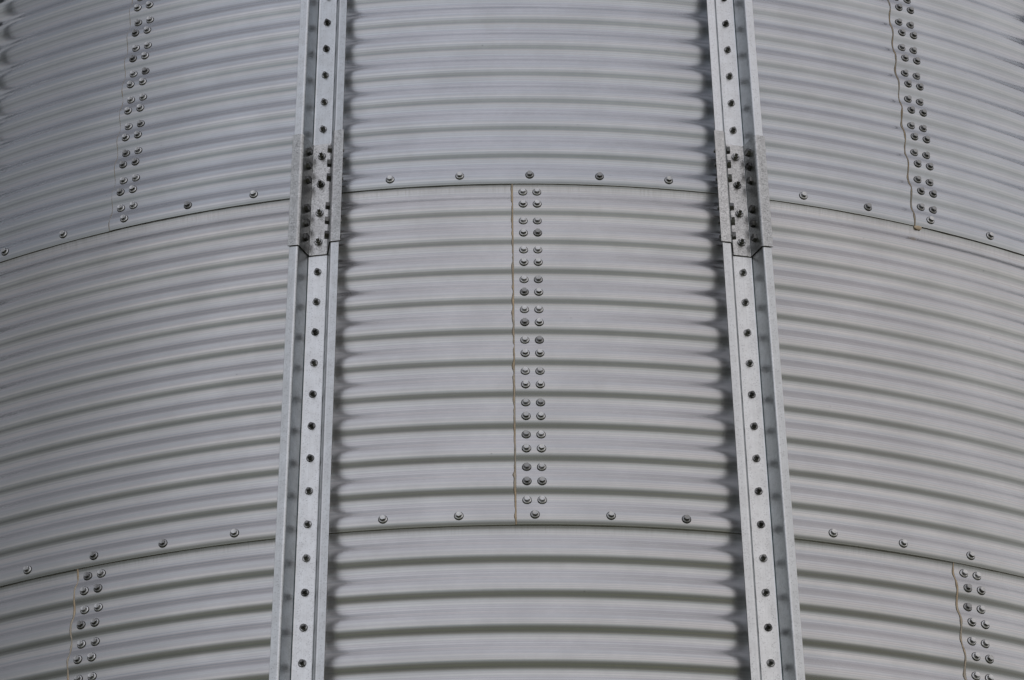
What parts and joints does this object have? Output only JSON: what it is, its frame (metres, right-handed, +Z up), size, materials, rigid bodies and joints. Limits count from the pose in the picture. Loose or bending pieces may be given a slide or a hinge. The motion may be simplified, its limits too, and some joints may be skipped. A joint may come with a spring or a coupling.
{
  "type": "silo wall section",
  "caption": "Curved wall section of a grain silo: lapped corrugated galvanised sheets in staggered rings, with hat-shaped outside stiffeners, splice sleeves and sealed laps.",
  "frame": {"origin": "under the middle of the section's box, on the level that its lower edge stands on", "axes": "+Z up the wall, -Y out of the silo at the section's middle, +X to the right seen from outside"},
  "size_m": [4.493, 0.8716, 3.484],
  "materials": {
    "galvanised_sheet": "weathered galvanised sheet, satin",
    "galvanised_stiffener": "bright galvanised section, faintly spangled",
    "dull_sleeve": "dull speckled hot-dip zinc",
    "zinc_fastener": "grey zinc-plated bolts, nuts and washers",
    "sealant": "tan butyl sealant, dusty"
  },
  "bodies": {
    "root": {"lower_sheet_left": "galvanised_sheet", "lower_sheet_centre": "galvanised_sheet", "lower_sheet_right": "galvanised_sheet", "middle_sheet_left": "galvanised_sheet", "middle_sheet_right": "galvanised_sheet", "upper_sheet_left": "galvanised_sheet", "upper_sheet_centre": "galvanised_sheet", "upper_sheet_right": "galvanised_sheet", "lower_seam_sealant_1": "sealant", "lower_seam_sealant_2": "sealant", "middle_seam_sealant_1": "sealant", "upper_seam_sealant_1": "sealant", "upper_seam_sealant_2": "sealant", "stiffener_1_lower": "galvanised_stiffener", "stiffener_1_upper": "galvanised_stiffener", "splice_sleeve_1": "dull_sleeve", "stiffener_2_lower": "galvanised_stiffener", "stiffener_2_upper": "galvanised_stiffener", "splice_sleeve_2": "dull_sleeve", "stiffener_3_lower": "galvanised_stiffener", "stiffener_3_upper": "galvanised_stiffener", "splice_sleeve_3": "dull_sleeve", "stiffener_4_lower": "galvanised_stiffener", "stiffener_4_upper": "galvanised_stiffener", "splice_sleeve_4": "dull_sleeve"}
  },
  "joints": []
}
